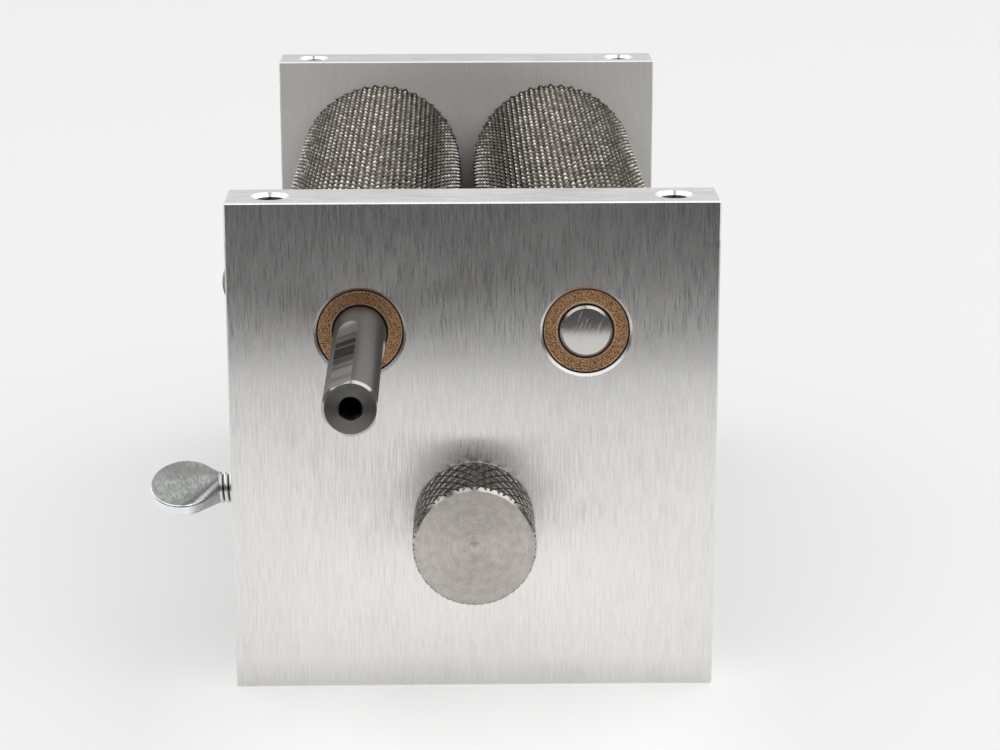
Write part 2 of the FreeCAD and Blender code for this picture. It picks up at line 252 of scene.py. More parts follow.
@dataclass
class Knurl:
    """A diamond knurl, rolled by one pair of wheels, round a bar along Y."""

    starts: int
    pitch: float = 3.85 * MM
    depth: float = 0.80 * MM
    top: float = 0.13 * MM
    sink: float = 0.012 * MM
    overhang: float = 0.75

    def flank(self, radius: float) -> float:
        """How wide a diamond's flank is, from its groove to its flat top.

        Args:
            radius: the radius at the grooves.

        Returns:
            The flank's width.
        """
        half_width = math.pi * radius / self.starts
        half_length = self.pitch / 2
        return half_width * half_length / math.hypot(half_width, half_length) - self.top

    def roll(self, name: str, radius: float, start: Vector, end: Vector) -> Piece:
        """A closed knurled bar that stands a little past both ends, ready to be trimmed.

        Args:
            name: the piece's name.
            radius: the radius over the diamonds' tops.
            start: the centre of the end at the lower Y.
            end: the centre of the other end.

        Returns:
            The bar.
        """
        root = radius - self.depth
        rows = math.ceil((end - start).length / self.pitch) + 2
        high = end + Vector((0, self.pitch * self.overhang, 0))
        bar = add_rod(name, root, high - Vector((0, rows * self.pitch, 0)), high, sides=self.starts)
        self._cut_rows(bar, rows)
        self._cut_diamonds(bar, root)
        open_up(bar, "FACE")
        bpy.ops.mesh.select_face_by_sides(number=4)
        bpy.ops.mesh.inset(thickness=self.flank(root), depth=self._rise(root), use_individual=True,
                           use_even_offset=True)
        lay_down()
        return bar

    def _cut_rows(self, bar: Piece, rows: int) -> None:
        """Divide the plain bar's long faces into rows one pitch long.

        Args:
            bar: the plain bar.
            rows: how many rows it gets.
        """
        open_up(bar, "EDGE")
        choose("edges", lambda edge: edge.calc_length() > 2 * self.pitch)
        bpy.ops.mesh.subdivide(number_cuts=rows - 1)
        lay_down()

    def _cut_diamonds(self, bar: Piece, root: float) -> None:
        """Turn the grid of faces into diamonds that share their corners.

        Args:
            bar: the bar with its grid of faces.
            root: the radius at the grooves.
        """
        low = min(vertex.co.y for vertex in bar.data.vertices)
        high = max(vertex.co.y for vertex in bar.data.vertices)
        sag = root * (1 - math.cos(math.pi / self.starts))
        open_up(bar, "FACE")
        choose("faces", lambda face: len(face.verts) == 4)
        bpy.ops.mesh.poke(offset=sag)
        bpy.ops.mesh.select_mode(type="EDGE")

        def is_grid_line(edge: bmesh.types.BMEdge) -> bool:
            """Whether an edge is one of the first grid's, away from the ends.

            Args:
                edge: an edge of the bar.

            Returns:
                Whether it goes when the diamonds are made.
            """
            run = edge.verts[1].co - edge.verts[0].co
            at_end = all(v.co.y < low + TINY or v.co.y > high - TINY for v in edge.verts)
            lengthwise = math.hypot(run.x, run.z) < TINY
            return not at_end and (lengthwise or abs(run.y) < TINY)

        choose("edges", is_grid_line)
        bpy.ops.mesh.dissolve_edges(use_verts=False)
        lay_down()

    def _rise(self, root: float) -> float:
        """How far a diamond's top stands above the middle of its four corners."""
        middle = root * (1 + math.cos(math.pi / self.starts)) / 2
        return root + self.depth - middle - self.sink


@dataclass
class Thread:
    """A screw thread of one profile along X."""

    major: float
    pitch: float
    depth: float
    profile: Profile = Profile.SHARP
    wall: float = 0.06 * MM
    steps: int = 36

    def rod(self, name: str, start: Vector, end: Vector) -> Piece:
        """A threaded rod along X, flat at both ends.

        Args:
            name: the piece's name.
            start: the centre of one end.
            end: the centre of the other end.

        Returns:
            The rod.
        """
        rod = self._helix(name, min(start.x, end.x), max(start.x, end.x), closed=True)
        rod.data.transform(Matrix.Translation(Vector((0, start.y, start.z))))
        face_outwards(rod)
        return rod

    def sleeve(self, name: str, mouth: Vector, into: Into, length: float) -> Piece:
        """The threaded wall of a tapped hole, with its ridges standing into the hole.

        Args:
            name: the piece's name.
            mouth: the centre of the thread's outer end.
            into: the way the hole runs.
            length: how long the thread is.

        Returns:
            The sleeve, an open tube whose outside lies in the hole's own wall.
        """
        sleeve = self._helix(name, 0.0, length, closed=False)
        open_up(sleeve, "FACE")
        choose("faces", lambda face: face.normal.yz.dot(face.calc_center_median().yz) > 0)
        bpy.ops.mesh.flip_normals()
        lay_down()
        apply_modifier(sleeve, "SOLIDIFY", thickness=self.wall, offset=-1.0)
        turn = Vector(into.value).to_track_quat("X", "Z").to_matrix().to_4x4()
        sleeve.data.transform(Matrix.Translation(mouth) @ turn)
        return sleeve

    def _helix(self, name: str, low: float, high: float, closed: bool) -> Piece:
        """The threaded surface round the X axis.

        Args:
            name: the piece's name.
            low: where it starts along X.
            high: where it ends along X.
            closed: whether its two ends are filled.

        Returns:
            The surface.
        """
        root = self.major - self.depth
        line = [(along * self.pitch, 0, root + height * self.depth)
                for along, height in self.profile.value]
        mesh = bpy.data.meshes.new(name)
        mesh.from_pydata(line, [(i, i + 1) for i in range(len(line) - 1)], [])
        helix = bpy.data.objects.new(name, mesh)
        bpy.context.scene.collection.objects.link(helix)
        turns = math.ceil((high - low) / self.pitch) + 2
        apply_modifier(helix, "SCREW", axis="X", angle=math.tau, screw_offset=self.pitch,
                       iterations=turns, steps=self.steps, render_steps=self.steps,
                       use_merge_vertices=True, merge_threshold=0.002 * MM)
        helix.location = Vector((low - self.pitch, 0, 0))
        settle(helix)
        open_up(helix, "VERT")
        for x, outer in ((low, False), (high, True)):
            bpy.ops.mesh.select_all(action="SELECT")
            bpy.ops.mesh.bisect(plane_co=(x, 0, 0), plane_no=(1, 0, 0), use_fill=closed,
                                clear_inner=not outer, clear_outer=outer)
        lay_down()
        return helix


# Finishes


@dataclass(frozen=True)
class Grain:
    """A noise pattern: its scale, how many finer layers it has, and how far it is bent."""

    scale: float
    detail: float
    distortion: float = 0.0


class Value:
    """A number, colour or direction that nodes work out; its arithmetic adds nodes."""

    def __init__(self, nodes: "NodeTree", socket: Socket) -> None:
        """Take a node's output in the tree that it belongs to."""
        self.nodes = nodes
        self.socket = socket

    def __add__(self, other: object) -> "Value":
        """The sum."""
        return self.nodes.math("ADD", self, other)

    def __sub__(self, other: object) -> "Value":
        """The difference."""
        return self.nodes.math("SUBTRACT", self, other)

    def __rsub__(self, other: float) -> "Value":
        """A plain number less this value."""
        return self.nodes.math("SUBTRACT", other, self)

    def __mul__(self, other: object) -> "Value":
        """The product."""
        return self.nodes.math("MULTIPLY", self, other)

    def __lt__(self, limit: object) -> "Value":
        """1 where the value lies under a limit, else 0."""
        return self.nodes.math("LESS_THAN", self, limit)

    def __gt__(self, limit: object) -> "Value":
        """1 where the value lies over a limit, else 0."""
        return self.nodes.math("GREATER_THAN", self, limit)

    def __or__(self, other: object) -> "Value":
        """The greater of two values."""
        return self.nodes.math("MAXIMUM", self, other)

    def __abs__(self) -> "Value":
        """The value without its sign."""
        return self.nodes.math("ABSOLUTE", self)

    def stretch(self, low: float, high: float, to_low: float = 0.0, to_high: float = 1.0) -> "Value":
        """Map one span of values on another, held at its ends."""
        node = self.nodes.add("ShaderNodeMapRange")
        return self.nodes.result(node, (self, low, high, to_low, to_high))

    def with_rest(self, share: float, rest: "Value") -> "Value":
        """A weighted mean: this value at its share, and another for the rest."""
        return self * share + rest * (1 - share)


class NodeTree:
    """The nodes of a material or of the room, with short calls for those that they share."""

    def __init__(self, tree: bpy.types.NodeTree) -> None:
        """Take the tree that the nodes go into."""
        self.tree = tree

    def add(self, kind: str, **settings: object) -> Node:
        """Add a node and set its options.

        Args:
            kind: the node's type.
            settings: its options by name.

        Returns:
            The node.
        """
        node = self.tree.nodes.new(kind)
        for name, value in settings.items():
            setattr(node, name, value)
        return node

    def feed(self, socket: Socket, value: object) -> None:
        """Link a value into a socket, or set the socket to a plain number, colour or direction.

        Args:
            socket: the input to set.
            value: a value of nodes or a plain one.
        """
        if isinstance(value, Value):
            self.tree.links.new(value.socket, socket)
        else:
            socket.default_value = (*value, 1.0) if socket.type == "RGBA" else value

    def result(self, node: Node, values: Sequence[object], output: int | str = 0) -> Value:
        """Feed a node's first inputs and take one of its outputs.

        Args:
            node: the node to feed.
            values: what its first inputs get.
            output: the output's place or name.

        Returns:
            The output's value.
        """
        for socket, value in zip(node.inputs, values):
            self.feed(socket, value)
        return Value(self, node.outputs[output])

    def math(self, operation: str, *values: object) -> Value:
        """A math node on one or two values."""
        return self.result(self.add("ShaderNodeMath", operation=operation), values)

    def vector(self, operation: str, *values: object) -> Value:
        """A vector math node; operations that give a number return that number."""
        node = self.add("ShaderNodeVectorMath", operation=operation)
        return self.result(node, values, "Value" if operation in ("LENGTH", "DOT_PRODUCT") else "Vector")

    def scaled(self, vector: Value, factor: float) -> Value:
        """A colour or direction times a plain number.

        Args:
            vector: the colour or direction.
            factor: the plain number.

        Returns:
            The product.
        """
        node = self.add("ShaderNodeVectorMath", operation="SCALE")
        node.inputs["Scale"].default_value = factor
        return self.result(node, (vector,))

    def split(self, vector: Value) -> list[Value]:
        """The three parts of a vector.

        Args:
            vector: the vector to take apart.

        Returns:
            Its X, Y and Z.
        """
        node = self.add("ShaderNodeSeparateXYZ")
        self.feed(node.inputs[0], vector)
        return [Value(self, output) for output in node.outputs]

    def join(self, x: object, y: object, z: object) -> Value:
        """A vector from its three parts."""
        return self.result(self.add("ShaderNodeCombineXYZ"), (x, y, z))

    def ray(self, kind: str) -> Value:
        """1 for rays of one kind, such as Camera or Glossy, else 0."""
        return Value(self, self.add("ShaderNodeLightPath").outputs["Is " + kind + " Ray"])

    def noise(self, vector: Value, grain: Grain) -> Value:
        """Smooth noise about 0.5.

        Args:
            vector: the places to read it at.
            grain: the pattern.

        Returns:
            The noise, from 0 to 1.
        """
        node = self.add("ShaderNodeTexNoise")
        self.feed(node.inputs["Vector"], vector)
        node.inputs["Scale"].default_value = grain.scale
        node.inputs["Detail"].default_value = grain.detail
        node.inputs["Distortion"].default_value = grain.distortion
        return Value(self, node.outputs["Fac"])

    def blend(self, share: object, first: object, second: object, kind: str = "RGBA") -> Value:
        """Mix two colours, vectors or numbers.

        Args:
            share: how much of the second shows.
            first: what shows at a share of 0.
            second: what shows at a share of 1.
            kind: RGBA, VECTOR or FLOAT.

        Returns:
            The mixture.
        """
        node = self.add("ShaderNodeMix", data_type=kind)
        sockets = [socket for socket in node.inputs if socket.enabled]
        for socket, value in zip(sockets, (share, first, second)):
            self.feed(socket, value)
        return Value(self, next(socket for socket in node.outputs if socket.enabled))

    def mix(self, share: object, first: object, second: object) -> Value:
        """Mix two numbers."""
        return self.blend(share, first, second, "FLOAT")


class NodeSheet(NodeTree):
    """One material's nodes, round a surface shader."""

    def __init__(self, name: str) -> None:
        """Start a material with no pattern; places on it are read in millimetres.

        Args:
            name: the material's name.
        """
        self.material = bpy.data.materials.new(name)
        self.material.use_nodes = True
        super().__init__(self.material.node_tree)
        self.tree.nodes.clear()
        output = self.add("ShaderNodeOutputMaterial")
        self.surface = self.add("ShaderNodeBsdfPrincipled")
        self.tree.links.new(self.surface.outputs["BSDF"], output.inputs["Surface"])
        place = self.add("ShaderNodeTexCoord")
        self.normal = Value(self, place.outputs["Normal"])
        self.place = self.scaled(Value(self, place.outputs["Object"]), 1 / MM)

    def bump(self, height: Value, depth: float, strength: float = 1.0, below: Value | None = None) -> Value:
        """A surface relief.

        Args:
            height: the pattern that stands out.
            depth: the height of one unit of it, in metres.
            strength: how much of the relief counts.
            below: a relief that this one lies on.

        Returns:
            The direction that the surface then faces.
        """
        node = self.add("ShaderNodeBump")
        node.inputs["Strength"].default_value = strength
        node.inputs["Distance"].default_value = depth
        self.feed(node.inputs["Height"], height)
        if below is not None:
            self.feed(node.inputs["Normal"], below)
        return Value(self, node.outputs["Normal"])

    def dress(self, **values: object) -> bpy.types.Material:
        """Set the shader's inputs and return the material.

        Args:
            values: the inputs by name, with _ for a space.

        Returns:
            The finished material.
        """
        for name, value in values.items():
            self.feed(self.surface.inputs[name.replace("_", " ")], value)
        return self.material

    def to_world(self, vector: Value) -> Value:
        """A direction on the piece, turned with the piece into the room.

        Args:
            vector: the direction on the piece.

        Returns:
            The direction in the room.
        """
        node = self.add("ShaderNodeVectorTransform", vector_type="VECTOR", convert_from="OBJECT",
                        convert_to="WORLD")
        return self.result(node, (vector,))

    def _away(self, axis: Vector) -> Value:
        """The way from a line along Y to the place, in millimetres."""
        x, _, z = self.split(self.place)
        return self.join(x - axis.x / MM, 0.0, z - axis.z / MM)

    def radius(self, axis: Vector) -> Value:
        """The distance from a line along Y, in millimetres."""
        return self.vector("LENGTH", self._away(axis))

    def outward(self, axis: Vector) -> Value:
        """The direction away from a line along Y."""
        return self.vector("NORMALIZE", self._away(axis))

    def slanted(self, cosine: float, sine: float) -> tuple[Value, Value]:
        """Places across and along a direction that leans from upright by an angle in the XZ plane."""
        x, _, z = self.split(self.place)
        return x * cosine + z * sine, z * cosine - x * sine

    def facing(self, part: int) -> Value:
        """1 where the surface faces along the chosen axis of the piece, else 0."""
        return abs(self.split(self.normal)[part]) > SQUARE_ON


@dataclass(frozen=True)
class BrushedAluminium:
    """Flat aluminium brushed along one direction, with a few fine scratches."""

    name: str
    colour: Colour = (0.848, 0.830, 0.814)
    shade: Colour = (0.830, 0.812, 0.797)
    # The inner colours are painted paler than the outer ones: painted light for the light that bounces
    # between the plates.
    inner: Colour = (0.98, 0.955, 0.93)
    inner_shade: Colour = (0.86, 0.835, 0.81)
    scratch: Colour = (0.95, 0.95, 0.95)
    # Painted shade at the plate's foot, for the floor's contact shadow that the plate mirrors.
    foot_shade: Colour = (0.30, 0.29, 0.28)
    # The chamfers' colour is painted paler than the plate's, as a painted highlight.
    chamfer: Colour = (0.96, 0.955, 0.95)
    # Painted shade inside the tapped holes in the top edges.
    tapped_hole_shade: Colour = (0.05, 0.048, 0.045)
    fine: Grain = Grain(6.5, 3.0)
    fine_share: float = 0.88
    broad: Grain = Grain(0.5, 2.0)
    cloud: Grain = Grain(0.05, 3.0)
    stroke: float = 0.03
    contrast: Span = (0.36, 0.64)
    streak: float = 0.085
    cloud_streak: float = 0.03
    lit_inner_matte: float = 0.9
    roughness: float = 0.30
    level_roughness: float = 0.19
    chamfer_roughness: float = 0.42
    cone_roughness: float = 0.12
    scratch_share: float = 0.35
    foot_share: float = 0.22
    foot_reach: Span = (6.0, 0.5)
    inner_face: float = 76.3 * MM
    chamfer_top: float = 85.0 * MM
    hole_x: float = 36.51 * MM
    hole_y: float = 82.55 * MM
    hole_reach: float = 3.7 * MM
    hole_radius: float = 2.80 * MM
    plate_middle: float = 46.0 * MM
    lines: Grain = Grain(2.2, 1.0)
    line_lean: Span = (0.96, 0.28)
    line_stroke: float = 0.02
    line_span: Span = (0.70, 0.72)
    patches: Grain = Grain(0.05, 2.0)
    patch_span: Span = (0.54, 0.60)

    def material(self) -> bpy.types.Material:
        """Brush lines along Z on upright faces and along X on level ones; the inner faces are less metallic
        and painted paler, standing in for light.

        Returns:
            The plates' material.
        """
        sheet = NodeSheet(self.name)
        x, y, z = sheet.split(sheet.place)
        level = sheet.facing(2)
        upright_brush = sheet.join(x, y, z * self.stroke)
        level_brush = sheet.join(x * self.stroke, y, z)
        brush = sheet.blend(level, upright_brush, level_brush, "VECTOR")
        tone = sheet.noise(brush, self.fine).with_rest(self.fine_share, sheet.noise(brush, self.broad))
        streak = tone.stretch(*self.contrast)
        scratch = self._scratches(sheet)
        colour = sheet.blend(streak, self.shade, self.colour)
        colour = sheet.blend(scratch * self.scratch_share, colour, self.scratch)
        # The inner faces between the plates are painted paler and made less metallic: painted light standing
        # in for bounce light between plates and rollers.
        inside = abs(y) < self.inner_face / MM
        colour = sheet.blend(inside, colour, sheet.blend(streak, self.inner_shade, self.inner))
        # Darker towards the plate's foot: painted shade for the floor's contact shadow mirrored in the
        # plate.
        colour = sheet.blend(z.stretch(*self.foot_reach) * self.foot_share, colour, self.foot_shade)
        rough = tone.stretch(*self.contrast, self.roughness + self.streak, self.roughness - self.streak)
        cloud = sheet.noise(sheet.place, self.cloud)
        rough = rough + cloud.stretch(*NEARLY_ALL, -self.cloud_streak, self.cloud_streak)
        rough = rough - level * (self.roughness - self.level_roughness)
        chamfer = self._chamfer(sheet)
        # The chamfers are painted paler: a painted highlight for the light that they catch.
        colour = sheet.blend(chamfer, colour, self.chamfer)
        rough = sheet.mix(chamfer * (z < self.chamfer_top / MM), rough, self.chamfer_roughness)
        rough = sheet.mix(chamfer * self._near_hole(sheet), rough, self.cone_roughness)
        # The tapped holes' walls are painted near black: painted shade inside the holes.
        colour = sheet.blend(self._in_hole(sheet), colour, self.tapped_hole_shade)
        relief = sheet.bump(tone, depth=0.008 * MM, strength=0.3)
        relief = sheet.bump(scratch, depth=0.01 * MM, strength=0.4, below=relief)
        across = sheet.blend(level, (1.0, 0.0, 0.0), (0.0, 1.0, 0.0), "VECTOR")
        return sheet.dress(Base_Color=colour, Metallic=1.0 - inside * self.lit_inner_matte, Roughness=rough,
                           Normal=relief, Anisotropic=0.97, Tangent=across)

    def _in_hole(self, sheet: NodeSheet) -> Value:
        """1 on the walls of the tapped holes in the top edges, which are painted dark as shade, and 0
        elsewhere.

        Args:
            sheet: the material's nodes.

        Returns:
            The mask.
        """
        x, y, z = sheet.split(sheet.place)
        way = sheet.join(abs(x) - self.hole_x / MM, abs(y) - self.hole_y / MM, 0.0)
        near = sheet.vector("LENGTH", way) < self.hole_radius / MM
        return near * (z > self.plate_middle / MM)

    def _near_hole(self, sheet: NodeSheet) -> Value:
        """1 round the countersunk holes in the top edges, and 0 elsewhere.

        Args:
            sheet: the material's nodes.

        Returns:
            The mask.
        """
        x, y, z = sheet.split(sheet.place)
        found = z > self.chamfer_top / MM
        for value, centre in ((x, self.hole_x), (y, self.hole_y)):
            found = found * (abs(abs(value) - centre / MM) < self.hole_reach / MM)
        return found

    def _chamfer(self, sheet: NodeSheet) -> Value:
        """1 on the chamfers, which face along none of the three axes, and 0 elsewhere."""
        x, y, z = (abs(part) for part in sheet.split(sheet.normal))
        return (x | y | z) < SQUARE_ON

    def _scratches(self, sheet: NodeSheet) -> Value:
        """A few long thin slanting lines, 1 on a scratch and 0 elsewhere.

        Args:
            sheet: the material's nodes.

        Returns:
            The mask.
        """
        _, y, _ = sheet.split(sheet.place)
        across, along = sheet.slanted(*self.line_lean)
        lines = sheet.noise(sheet.join(across, y, along * self.line_stroke), self.lines)
        patches = sheet.noise(sheet.place, self.patches)
        return lines.stretch(*self.line_span) * patches.stretch(*self.patch_span)


@dataclass(frozen=True)
class TurnedSteel:
    """Steel turned round a line along Y, with tool marks round it and rings on its ends."""

    name: str
    axis: Vector
    colour: Colour = (0.62, 0.60, 0.57)
    shade: Colour = (0.44, 0.42, 0.39)
    roughness: float = 0.26
    end_roughness: float = 0.18
    streak: float = 0.06
    marks: Grain = Grain(4.0, 3.0)
    marks_share: float = 0.6
    wear: Grain = Grain(0.8, 4.0)

    def sheet(self) -> tuple[NodeSheet, dict[str, Value]]:
        """Tool marks along Y on the side and by radius on the ends.

        Returns:
            The node sheet, and its ends, radius, colour, roughness, relief and grain direction by name.
        """
        sheet = NodeSheet(self.name)
        _, y, _ = sheet.split(sheet.place)
        end = sheet.facing(1)
        radius = sheet.radius(self.axis)
        marks = sheet.noise(sheet.join(sheet.mix(end, y, radius), 0.0, 0.0), self.marks)
        tone = marks.with_rest(self.marks_share, sheet.noise(sheet.place, self.wear))
        base = sheet.mix(end, self.roughness, self.end_roughness)
        along = sheet.blend(end, (0.0, 1.0, 0.0), sheet.outward(self.axis), "VECTOR")
        found = {
            "end": end,
            "radius": radius,
            "colour": sheet.blend(tone.stretch(*MIDDLE), self.shade, self.colour),
            "rough": base + tone.stretch(*NEARLY_ALL, self.streak, -self.streak),
            "relief": sheet.bump(marks, depth=0.005 * MM, strength=0.5),
            "along": sheet.to_world(along),
        }
        return sheet, found

    def material(self) -> bpy.types.Material:
        """The plain turned finish.

        Returns:
            The turned material.
        """
        sheet, found = self.sheet()
        return sheet.dress(Base_Color=found["colour"], Metallic=1.0, Roughness=found["rough"],
                           Normal=found["relief"], Anisotropic=0.6, Tangent=found["along"])


@dataclass(frozen=True)
class MilledShaft(TurnedSteel):
    """A turned shaft with milled flats, whose cutter marks lie aslant, and a hole in its front end painted
    dark as shade.
    """

    colour: Colour = (0.48, 0.46, 0.44)
    shade: Colour = (0.34, 0.325, 0.305)
    flat: Colour = (0.50, 0.48, 0.455)
    burn: Colour = (0.05, 0.048, 0.045)
    # Painted shade for the hole in the front end.
    hole_shade: Colour = (0.10, 0.095, 0.09)
    side_tone: float = 0.59
    roughness: float = 0.34
    flat_roughness: float = 0.26
    round_radius: float = 4.7425 * MM
    hole_radius: float = 2.08 * MM
    flats_start: float = -89.9 * MM
    burnt_middle: float = -117.0 * MM
    burnt_reach: Span = (4.0, 12.0)
    burnt_share: float = 0.16
    cuts: Grain = Grain(0.26, 5.0)
    cut_share: float = 0.8
    cut_slant: float = 0.25
    cut_span: Span = (0.40, 0.56)

    def material(self) -> bpy.types.Material:
        """Turned steel with darker, coarser marks where the side is cut below the round.

        Returns:
            The drive shaft's material.
        """
        sheet, found = self.sheet()
        x, y, z = sheet.split(sheet.place)
        outside = y < self.flats_start / MM
        side = 1.0 - found["end"]
        flat = (found["radius"] < self.round_radius / MM) * outside * side
        cuts = sheet.noise(sheet.join(y + (x + z) * self.cut_slant, 0.0, 0.0), self.cuts)
        burnt = abs(y - self.burnt_middle / MM).stretch(*self.burnt_reach)
        cuts = cuts * self.cut_share + burnt * self.burnt_share
        ground = sheet.scaled(found["colour"], self.side_tone)
        colour = sheet.blend(side, found["colour"], ground)
        colour = sheet.blend(flat, colour, sheet.blend(cuts.stretch(*self.cut_span), self.burn, self.flat))
        # The end hole and its thread are painted dark: painted shade inside the hole.
        hole_shade = (found["radius"] < self.hole_radius / MM) * outside
        colour = sheet.blend(hole_shade, colour, self.hole_shade)
        rough = sheet.mix(flat, found["rough"], self.flat_roughness)
        relief = sheet.bump(cuts * flat, depth=0.05 * MM, strength=0.5, below=found["relief"])
        return sheet.dress(Base_Color=colour, Metallic=1.0, Roughness=rough, Normal=relief,
                           Anisotropic=0.85, Tangent=found["along"])


@dataclass(frozen=True)
class CutShaft(TurnedSteel):
    """A turned shaft whose ends are rubbed bright, a little out of square, with slanting scratches."""

    end_colour: Colour = (0.74, 0.72, 0.69)
    scratch: Colour = (0.85, 0.84, 0.82)
    end_roughness: float = 0.05
    end_slope: float = 0.0165
    scratch_share: float = 0.4
    scratch_streak: float = 0.08
    lines: Grain = Grain(3.2, 3.0)
    line_lean: Span = (0.91, -0.42)
    line_stroke: float = 0.08
    line_span: Span = (0.60, 0.70)

    def material(self) -> bpy.types.Material:
        """Turned steel with smooth, scratched ends.

        Returns:
            The material of one shaft.
        """
        sheet, found = self.sheet()
        end = found["end"]
        _, _, z = sheet.split(sheet.place)
        across, along = sheet.slanted(*self.line_lean)
        lines = sheet.noise(sheet.join(across, along * self.line_stroke, 0.0), self.lines)
        scratch = lines.stretch(*self.line_span) * end
        even = sheet.blend(end, found["colour"], self.end_colour)
        colour = sheet.blend(scratch * self.scratch_share, even, self.scratch)
        rough = sheet.mix(end, found["rough"], self.end_roughness) + scratch * self.scratch_streak
        square = sheet.bump(z * self.end_slope * end, depth=MM)
        relief = sheet.bump(lines * end, depth=0.004 * MM, strength=0.4, below=square)
        return sheet.dress(Base_Color=colour, Metallic=1.0, Roughness=rough, Normal=relief)


@dataclass(frozen=True)
class KnurledSteel:
    """Knurled steel, painted darker down its flanks into its grooves as shade, with smooth turned ends and
    chamfers.
    """

    name: str
    axis: Vector
    outside: float
    depth: float
    point: Colour = (0.80, 0.765, 0.73)
    # flank and groove_shade: painted shade down the diamonds' sides and in the grooves.
    flank: Colour = (0.175, 0.16, 0.14)
    groove_shade: Colour = (0.012, 0.009, 0.006)
    face: Colour = (0.595, 0.552, 0.515)
    # A dark specular tint that dims reflections at grazing angles, standing in for the knurl's shade on
    # itself.
    grazing_shade: Colour = (0.34, 0.325, 0.30)
    face_wear: float = 0.78
    roughness: float = 0.26
    groove_spread: float = 0.2
    point_spread: float = 0.06
    face_roughness: float = 0.30
    face_streak: float = 0.04
    end_limit: float = 0.64
    nub: float = 0.0
    nub_share: float = 0.2
    grime: Grain = Grain(0.9, 5.0)
    grime_lift: float = 0.22
    grain: Grain = Grain(7.0, 3.0)
    rings: Grain = Grain(2.4, 5.0)
    rings_share: float = 0.5
    groove_span: Span = (0.08, 0.6)
    point_span: Span = (0.70, 0.98)
    rough_span: Span = (0.1, 1.0)

    def material(self) -> bpy.types.Material:
        """Colour by height above the grooves, painted darker downwards as shade; rings by radius where the
        surface faces along Y.

        Returns:
            The material of one knurled piece.
        """
        sheet = NodeSheet(self.name)
        radius = sheet.radius(self.axis)
        end = abs(sheet.split(sheet.normal)[1]) > self.end_limit
        grime = sheet.noise(sheet.place, self.grime)
        grain = sheet.noise(sheet.place, self.grain)
        height = radius.stretch((self.outside - self.depth) / MM, self.outside / MM)
        lifted = height + grime.stretch(*NEARLY_ALL, -self.grime_lift, self.grime_lift)
        # Painted shade: near black in the grooves and dark on the flanks, paler on the points.
        knurled = sheet.blend(lifted.stretch(*self.groove_span), self.groove_shade, self.flank)
        knurled = sheet.blend(lifted.stretch(*self.point_span), knurled, self.point)
        rings = sheet.noise(sheet.join(radius, 0.0, 0.0), self.rings)
        worn = tuple(self.face_wear * part for part in self.face)
        smudge = rings.with_rest(self.rings_share, grime)
        turned = sheet.blend(smudge.stretch(*CORE), worn, self.face)
        colour = sheet.blend(end, knurled, turned)
        side_rough = lifted.stretch(*self.rough_span, self.roughness + self.groove_spread,
                                    self.roughness - self.point_spread)
        face_rough = grain.stretch(*NEARLY_ALL, self.face_roughness - self.face_streak,
                                   self.face_roughness + self.face_streak)
        relief = sheet.bump(sheet.mix(end, grain, rings), depth=0.006 * MM, strength=0.5)
        if self.nub:
            centre = radius.stretch(self.nub / MM, self.nub_share * self.nub / MM)
            relief = sheet.bump(centre * end, depth=0.08 * MM, strength=0.8, below=relief)
        # The specular tint is painted shade for the knurl's shade on itself at grazing angles.
        return sheet.dress(Base_Color=colour, Metallic=1.0, Roughness=sheet.mix(end, side_rough, face_rough),
                           Normal=relief, Specular_Tint=self.grazing_shade, Anisotropic=0.7,
                           Tangent=sheet.to_world(sheet.outward(self.axis)))


